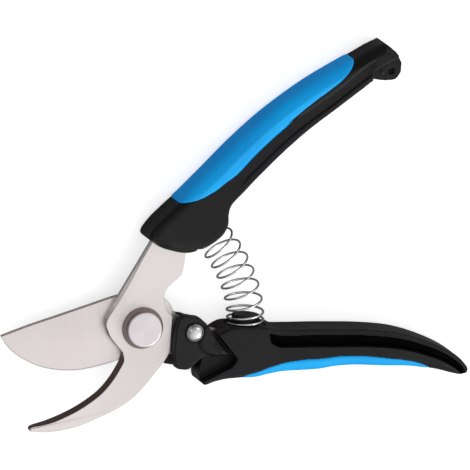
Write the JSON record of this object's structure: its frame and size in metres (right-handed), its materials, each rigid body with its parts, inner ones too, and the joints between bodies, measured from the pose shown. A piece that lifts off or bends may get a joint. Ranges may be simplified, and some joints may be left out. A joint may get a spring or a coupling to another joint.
{
  "type": "bypass pruning shears",
  "caption": "Hand pruner with a bypass blade and hook, coil return spring, side latch and soft-grip handles.",
  "frame": {"origin": "centre of the hanging hole, at the middle of the lug in the tail of the upper handle; the pivot axis is at x -0.1062, y -0.1163, and z 0 is the shear plane between the two plates", "axes": "+Z along the hanging hole and the pivot axis, towards the bolt head, +X back along the lower handle, +Y towards the upper handle in the open position"},
  "size_m": [0.2156, 0.1751, 0.0202],
  "materials": {
    "plate_steel": "fine brushed stainless steel",
    "bolt_steel": "turned and lightly polished steel",
    "rivet": "bright plated, domed",
    "bushing": "plain sintered bronze",
    "lock_ring": "nylon",
    "spring_wire": "bright drawn wire",
    "handle_black": "satin moulded nylon",
    "latch_black": "satin moulded nylon",
    "grip_blue": "smooth soft moulded rubber"
  },
  "bodies": {
    "blade_half": {"cutting_blade": "plate_steel", "lower_handle": "handle_black", "lower_grip": "grip_blue", "pivot_bolt": "bolt_steel", "pivot_washer": "bolt_steel", "spring_washer": "bolt_steel", "lock_nut": "bolt_steel", "nut_lock_ring": "lock_ring", "coil_spring": "spring_wire", "latch_rivet": "rivet", "latch_washer": "bolt_steel", "rivet_washer": "bolt_steel"},
    "hook_half": {"hook_plate": "plate_steel", "pivot_bushing": "bushing", "upper_handle": "handle_black", "upper_grip": "grip_blue"},
    "latch": {"latch": "latch_black"}
  },
  "joints": [
    {"name": "pivot", "type": "hinge", "parent": "blade_half", "child": "hook_half", "pos_m": [-0.1062, -0.1163, 0], "axis": [0, 0, 1], "range_deg": [-38, 0], "stiffness_Nm_per_rad": 0.6, "deforming": ["coil_spring"]},
    {"name": "latch_turn", "type": "hinge", "parent": "blade_half", "child": "latch", "pos_m": [-0.0832, -0.1175, 0], "axis": [0, 0, 1], "range_deg": [-38, 0]}
  ]
}
